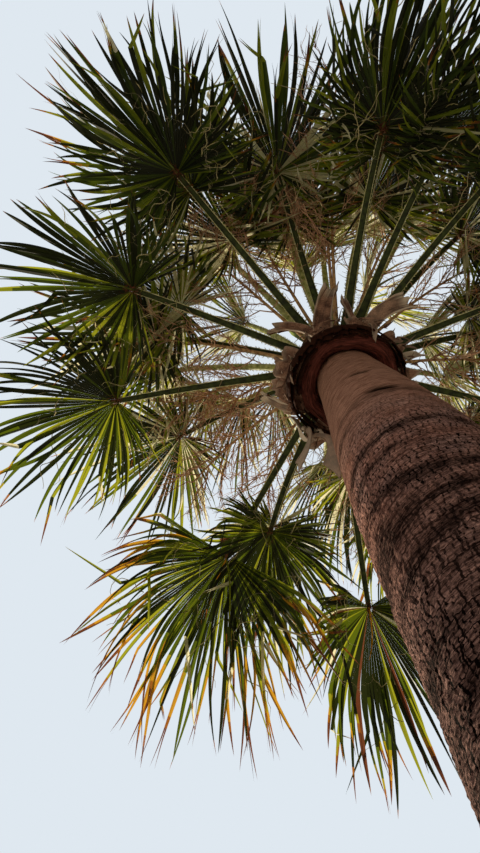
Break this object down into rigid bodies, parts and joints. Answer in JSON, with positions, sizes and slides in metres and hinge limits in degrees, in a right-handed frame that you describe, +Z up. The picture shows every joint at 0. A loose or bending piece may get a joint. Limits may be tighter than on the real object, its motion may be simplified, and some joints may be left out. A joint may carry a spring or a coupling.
{
  "type": "fan palm tree",
  "caption": "Leaning palm trunk, swollen under its tip, with a collar of fibre and old leaf bases and a round crown of fan-shaped fronds and fruit stalks.",
  "frame": {"origin": "middle of the flat cut under the trunk, at ground level", "axes": "+Z up along the plant's height, -Z into the ground, +X to the right and +Y towards the picture's lower edge as the camera saw it"},
  "size_m": [5.1678, 5.4391, 8.6555],
  "materials": {
    "bark": "rough ringed and fissured bark",
    "fibre": "matted leaf-sheath fibre",
    "leaf_base": "dry split leaf bases",
    "stalk": "smooth stalk with pale toothed edges",
    "leaf": "waxy pleated leaf",
    "young_leaf": "waxy pleated young leaf",
    "fruit_stalk": "dry twiggy stalk"
  },
  "bodies": {
    "root": {"trunk": "bark", "fibre_collar": "fibre", "leaf_base_1": "leaf_base", "leaf_base_2": "leaf_base", "leaf_base_3": "leaf_base", "leaf_base_4": "leaf_base", "leaf_base_5": "leaf_base", "leaf_base_6": "leaf_base", "leaf_base_7": "leaf_base", "leaf_base_8": "leaf_base", "leaf_base_9": "leaf_base", "spear_leaf_1": "young_leaf", "spear_leaf_2": "young_leaf", "frond_1_stalk": "stalk", "frond_1_blade": "leaf", "frond_2_stalk": "stalk", "frond_2_blade": "leaf", "frond_3_stalk": "stalk", "frond_3_blade": "leaf", "frond_4_stalk": "stalk", "frond_4_blade": "leaf", "frond_5_stalk": "stalk", "frond_5_blade": "leaf", "frond_6_stalk": "stalk", "frond_6_blade": "leaf", "frond_7_stalk": "stalk", "frond_7_blade": "leaf", "frond_8_stalk": "stalk", "frond_8_blade": "leaf", "frond_9_stalk": "stalk", "frond_9_blade": "leaf", "frond_10_stalk": "stalk", "frond_10_blade": "leaf", "frond_11": "leaf", "frond_12": "leaf", "frond_13": "leaf", "frond_14": "leaf", "frond_15": "leaf", "frond_16": "leaf", "frond_17": "leaf", "frond_18": "leaf", "frond_19": "young_leaf", "frond_20": "young_leaf", "frond_21": "young_leaf", "frond_22": "young_leaf", "frond_23": "young_leaf", "frond_24": "young_leaf", "frond_25": "young_leaf", "frond_26": "young_leaf", "frond_27": "young_leaf", "frond_28": "young_leaf", "fruit_stalk_1": "fruit_stalk", "fruit_stalk_2": "fruit_stalk", "fruit_stalk_3": "fruit_stalk", "fruit_stalk_4": "fruit_stalk", "fruit_stalk_5": "fruit_stalk", "fruit_stalk_6": "fruit_stalk"}
  },
  "joints": []
}
